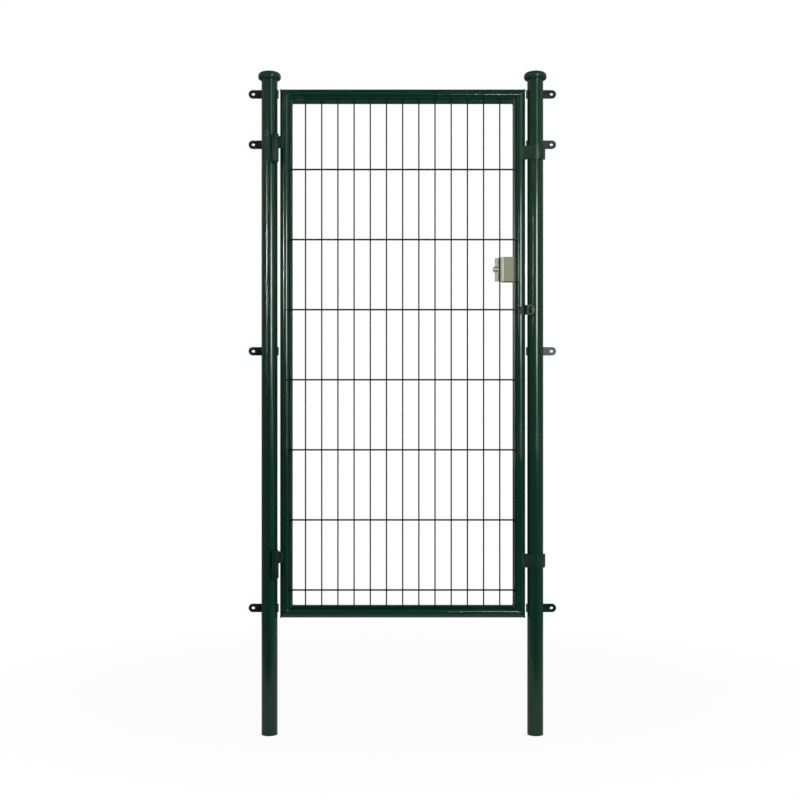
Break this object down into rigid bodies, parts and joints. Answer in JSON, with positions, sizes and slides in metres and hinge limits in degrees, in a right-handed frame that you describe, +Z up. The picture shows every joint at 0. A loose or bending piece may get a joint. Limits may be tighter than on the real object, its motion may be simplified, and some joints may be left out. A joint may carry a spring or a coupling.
{
  "type": "metal fence gate",
  "caption": "Single steel garden gate: welded wire leaf in a mitred tube frame, hung on a round post by barrel hinges, with box lock and a matching lock post.",
  "frame": {"origin": "centre of the hinge post's foot, on the plane of its lower end", "axes": "+X along the gate from the hinge post to the lock post, +Z up, the leaf opens towards -Y"},
  "size_m": [1.166, 0.099, 2.494],
  "materials": {
    "green_coat": "semi-gloss moss green powder coat over zinc",
    "green_cap": "smooth moss green plastic",
    "zinc_lock": "yellow-grey zinc plate",
    "bare_steel": "bright zinc plate"
  },
  "bodies": {
    "posts": {"hinge_post": "green_coat", "lock_post": "green_coat", "hinge_post_cap": "green_cap", "lock_post_cap": "green_cap", "hinge_post_tab_1": "green_coat", "hinge_post_tab_2": "green_coat", "hinge_post_tab_3": "green_coat", "hinge_post_tab_4": "green_coat", "lock_post_tab_1": "green_coat", "lock_post_tab_2": "green_coat", "lock_post_tab_3": "green_coat", "lock_post_tab_4": "green_coat", "lower_post_knuckle": "green_coat", "upper_post_knuckle": "green_coat", "lower_hinge_pin": "bare_steel", "upper_hinge_pin": "bare_steel", "lower_bearing_washer": "green_coat", "upper_bearing_washer": "green_coat", "padlock_staple": "green_coat"},
    "leaf": {"hinge_stile": "green_coat", "lock_stile": "green_coat", "top_rail": "green_coat", "bottom_rail": "green_coat", "hinge_side_bar": "green_coat", "lock_side_bar_lower": "green_coat", "lock_side_bar_upper": "green_coat", "top_bar": "green_coat", "bottom_bar": "green_coat", "wire_mesh": "green_coat", "lower_leaf_knuckle": "green_coat", "upper_leaf_knuckle": "green_coat", "lower_hinge_plate": "green_coat", "upper_hinge_plate": "green_coat", "lower_stop_saddle": "green_coat", "upper_stop_saddle": "green_coat", "padlock_hasp": "green_coat", "lock_case": "zinc_lock", "lock_block": "zinc_lock", "lock_turn_piece": "bare_steel", "lock_bolt": "bare_steel"}
  },
  "joints": [
    {"name": "gate_hinge", "type": "hinge", "parent": "posts", "child": "leaf", "pos_m": [0.026, -0.03975, 0], "axis": [0, 0, -1], "range_deg": [0, 180]}
  ]
}
